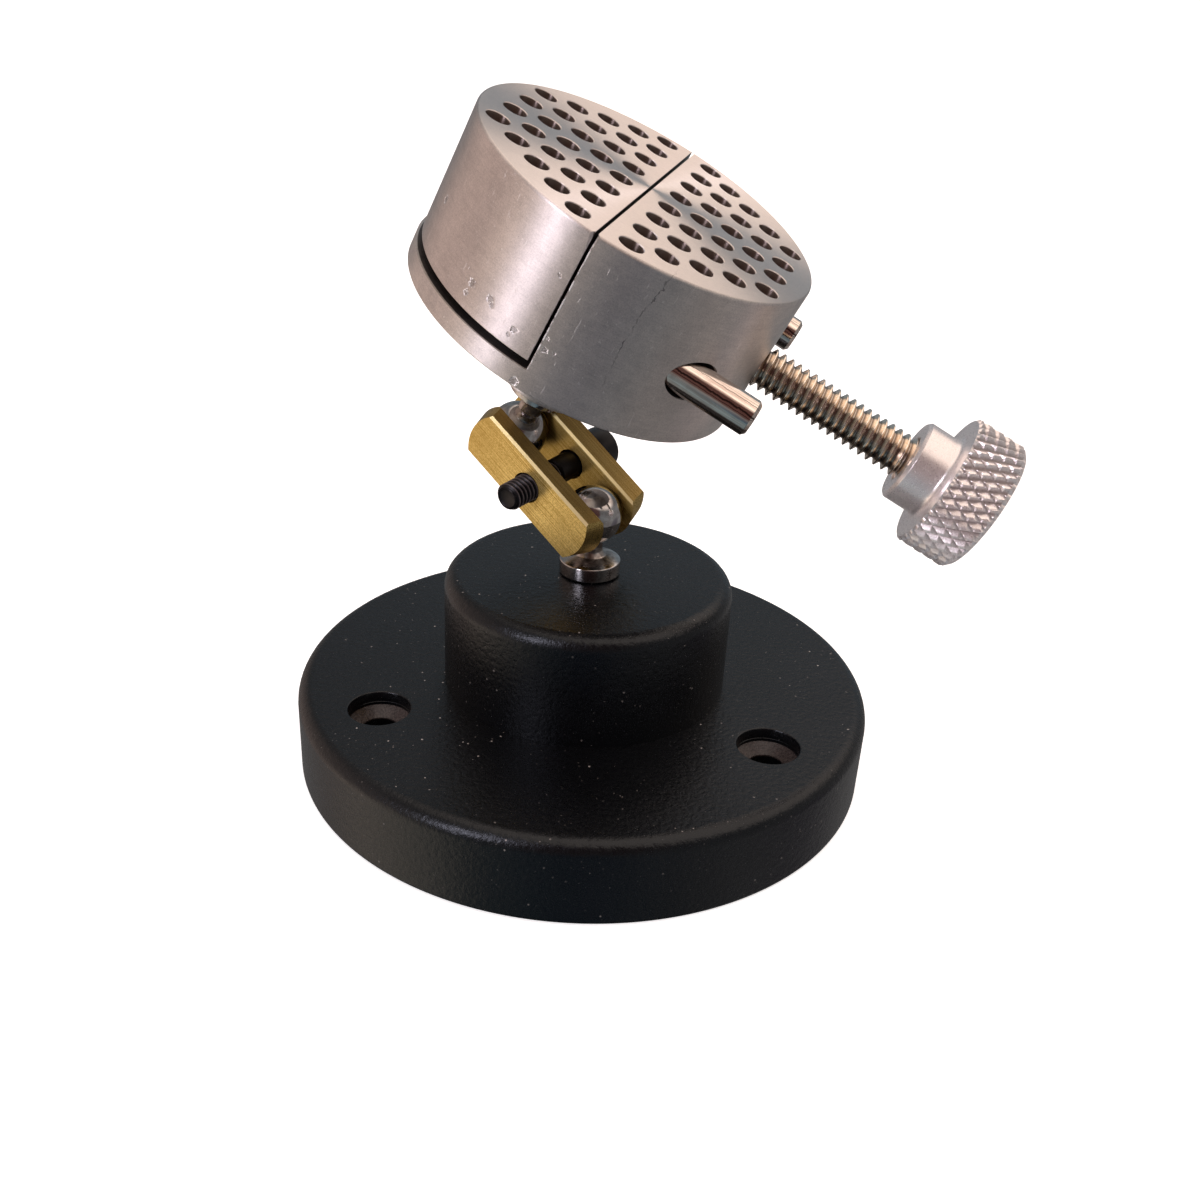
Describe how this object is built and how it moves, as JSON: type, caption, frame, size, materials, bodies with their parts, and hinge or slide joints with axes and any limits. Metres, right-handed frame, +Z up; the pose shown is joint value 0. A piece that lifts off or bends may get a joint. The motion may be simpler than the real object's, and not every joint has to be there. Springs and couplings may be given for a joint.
{
  "type": "work holder",
  "caption": "Bench work holder: split round jaw head with a grid of pin holes, opened by a thumb screw, on a clamped double ball joint over a round screw-down base.",
  "frame": {"origin": "middle of the base's underside", "axes": "+Z up out of the base; +X to the right and +Y away from the picture's camera"},
  "size_m": [0.1031, 0.0888, 0.0983],
  "materials": {
    "base_black": "satin black powder coat, fine orange peel",
    "brass": "lengthwise brushed, bright chamfers",
    "black_oxide": "black oxide steel, dry",
    "polished_steel": "polished",
    "rod_steel": "ground and polished round",
    "turned_aluminium": "fine turned, satin, handled"
  },
  "bodies": {
    "base": {"base_casting": "base_black"},
    "lower_stud": {"base_ball_stud": "polished_steel"},
    "link": {"link_plate_front": "brass", "link_plate_rear": "brass"},
    "clamp_screw": {"link_clamp_screw": "black_oxide"},
    "upper_stud": {"head_ball_stud": "polished_steel"},
    "head": {"head_disc": "turned_aluminium", "fixed_jaw": "turned_aluminium"},
    "moving_jaw": {"moving_jaw": "turned_aluminium", "guide_rod_front": "rod_steel", "guide_rod_rear": "rod_steel", "screw_retaining_pin_front": "rod_steel", "screw_retaining_pin_rear": "rod_steel"},
    "thumb_screw": {"jaw_screw": "rod_steel", "thumb_knob": "turned_aluminium"}
  },
  "joints": [
    {"name": "lower_swivel", "type": "hinge", "parent": "base", "child": "lower_stud", "pos_m": [0, 0, 0.04013], "axis": [0, 0, 1], "continuous": true},
    {"name": "lower_tilt", "type": "hinge", "parent": "lower_stud", "child": "link", "pos_m": [0, 0, 0.04013], "axis": [-0.5674, -0.8199, -0.0756], "range_deg": [-35, 50]},
    {"name": "clamp_screw_turn", "type": "hinge", "parent": "link", "child": "clamp_screw", "pos_m": [-0.00597, 0.00367, 0.0451], "axis": [-0.5674, -0.8199, -0.0756], "range_deg": [-360, 0]},
    {"name": "upper_tilt", "type": "hinge", "parent": "link", "child": "upper_stud", "pos_m": [-0.01193, 0.00734, 0.05007], "axis": [0.5674, 0.8199, 0.0756], "range_deg": [-120, 27]},
    {"name": "upper_swivel", "type": "hinge", "parent": "upper_stud", "child": "head", "pos_m": [-0.01193, 0.00734, 0.05007], "axis": [0.415, -0.1804, 0.8918], "continuous": true},
    {"name": "jaw_slide", "type": "slide", "parent": "head", "child": "moving_jaw", "axis": [-0.8726, 0.1986, 0.4462], "range_m": [-0.0003, 0.02]},
    {"name": "jaw_screw_turn", "type": "hinge", "parent": "moving_jaw", "child": "thumb_screw", "pos_m": [0.00025, 0.00205, 0.07625], "axis": [-0.8726, 0.1986, 0.4462], "range_deg": [-86, 5670]}
  ],
  "couplings": [
    {"joint": "jaw_screw_turn", "follows": "jaw_slide", "rad_per_m": 4947.4}
  ]
}
